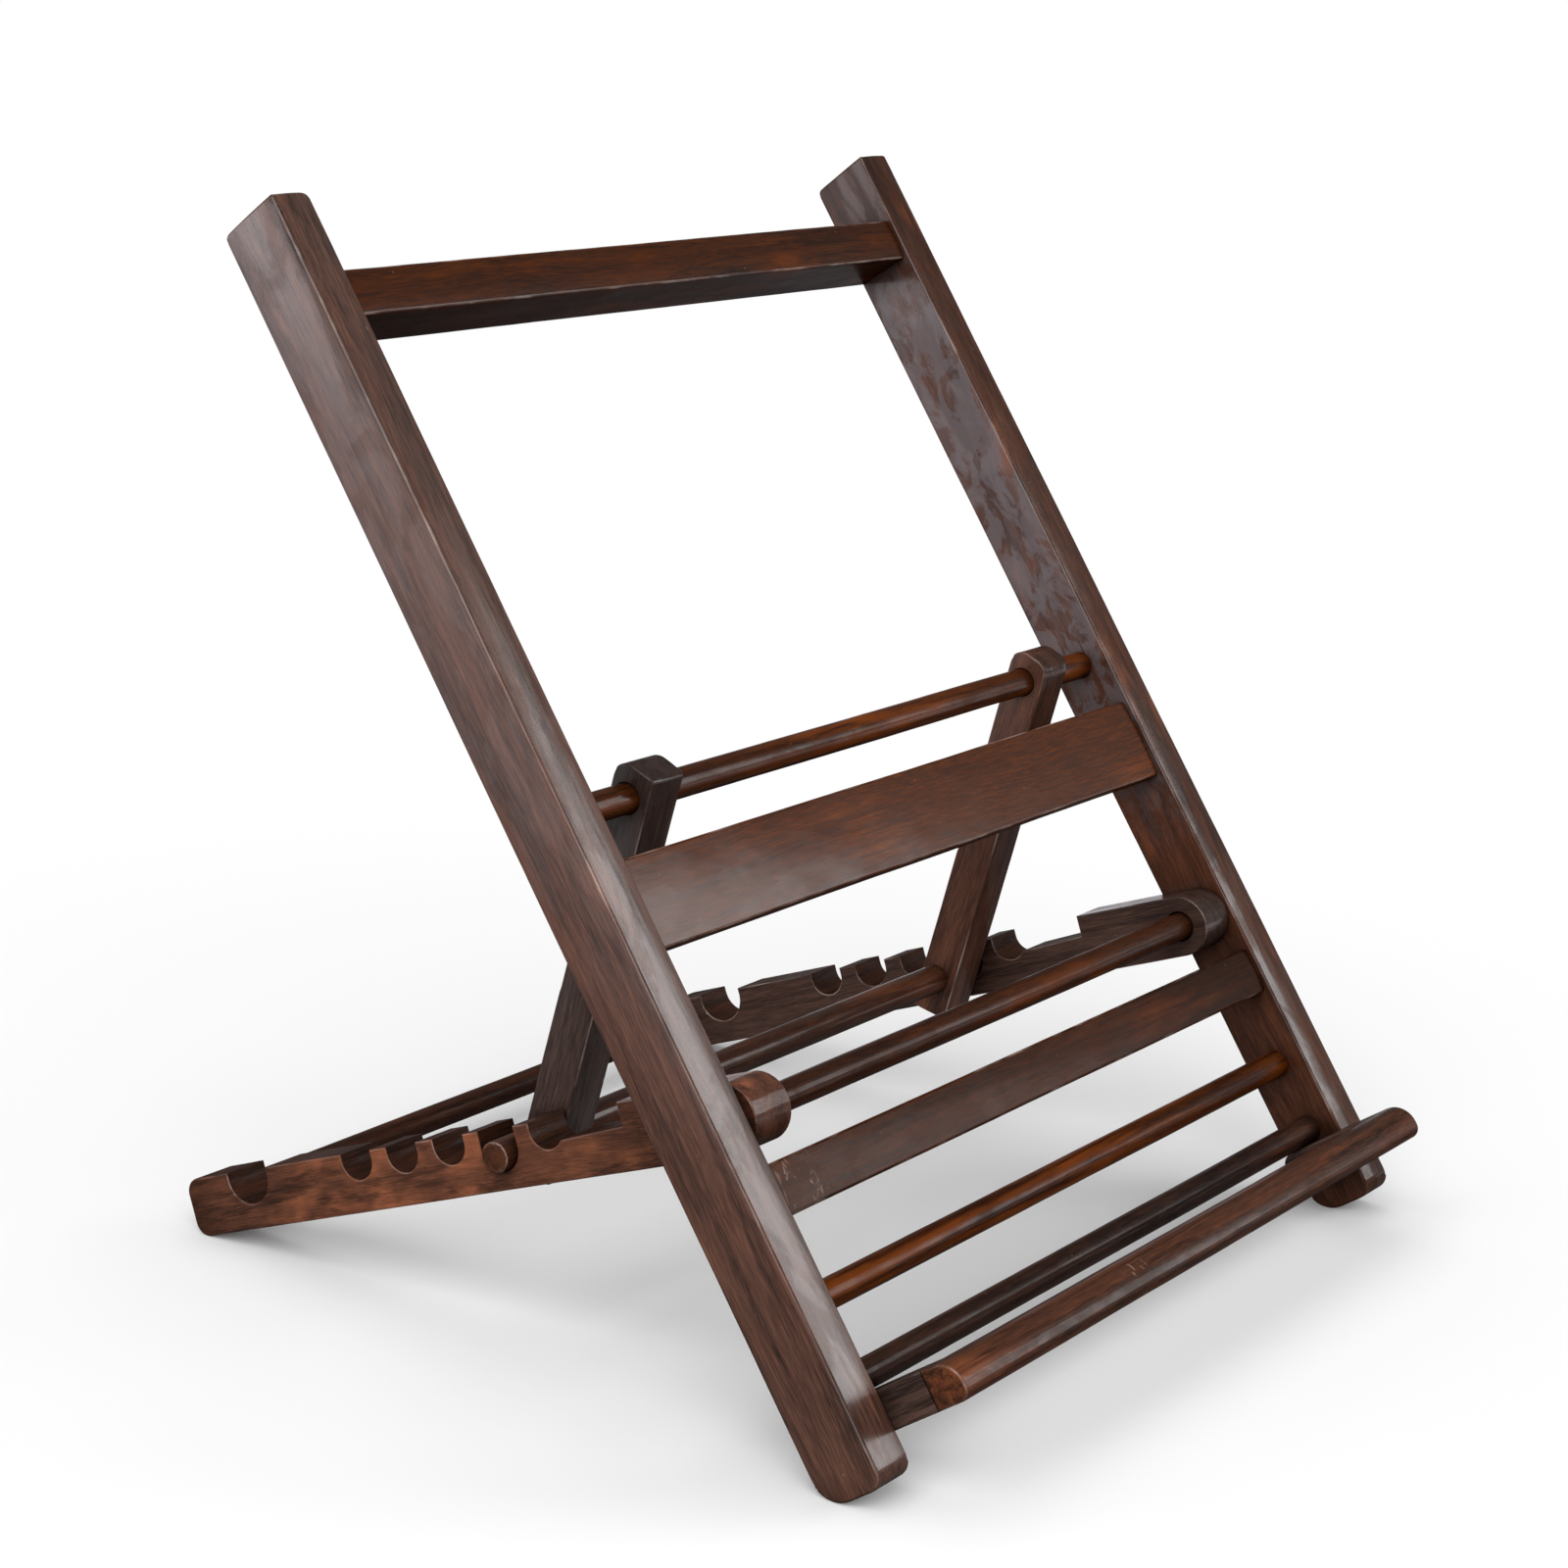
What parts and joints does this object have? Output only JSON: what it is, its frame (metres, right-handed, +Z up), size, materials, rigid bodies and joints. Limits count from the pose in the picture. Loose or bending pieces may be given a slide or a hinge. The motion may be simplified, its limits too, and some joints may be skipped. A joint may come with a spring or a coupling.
{
  "type": "folding book display stand",
  "caption": "Folding wooden book display stand: a leaning ladder-like frame with a ledge, held by struts whose cross peg drops into notched bars.",
  "frame": {"origin": "on the table at the middle of the stand's footprint", "axes": "+X along the rods and rails, to the right for someone reading from the front; +Y from the ledge at the front towards the notched bars' tips at the back; +Z up"},
  "size_m": [0.3, 0.2668, 0.3031],
  "materials": {
    "dark_rosewood": "satin lacquer",
    "rod_rosewood": "satin lacquer",
    "streaked_rosewood": "satin lacquer",
    "peg_wood": "bare wood"
  },
  "bodies": {
    "front_frame": {"left_stile": "dark_rosewood", "right_stile": "dark_rosewood", "top_rail": "dark_rosewood", "middle_slat": "dark_rosewood", "lower_slat": "dark_rosewood", "page_rod": "rod_rosewood", "foot_rod": "rod_rosewood", "base_pivot_rod": "rod_rosewood", "strut_pivot_rod": "rod_rosewood", "left_ledge_arm": "dark_rosewood", "right_ledge_arm": "dark_rosewood", "ledge_bar": "dark_rosewood", "ledge_arm_pegs": "peg_wood", "ledge_bar_pegs": "peg_wood"},
    "base_frame": {"left_notched_bar": "streaked_rosewood", "right_notched_bar": "streaked_rosewood", "rear_rod": "rod_rosewood"},
    "strut_frame": {"left_strut": "dark_rosewood", "right_strut": "dark_rosewood", "strut_peg": "rod_rosewood"}
  },
  "joints": [
    {"name": "base_swing", "type": "hinge", "parent": "front_frame", "child": "base_frame", "pos_m": [0, -0.05368, 0.08302], "axis": [1, 0, 0], "range_deg": [-69, 0]},
    {"name": "strut_swing", "type": "hinge", "parent": "front_frame", "child": "strut_frame", "pos_m": [0, -0.00173, 0.15429], "axis": [1, 0, 0], "range_deg": [0, 23.01]}
  ],
  "couplings": [
    {"joint": "strut_swing", "follows": "base_swing", "ratio": -0.33333}
  ]
}
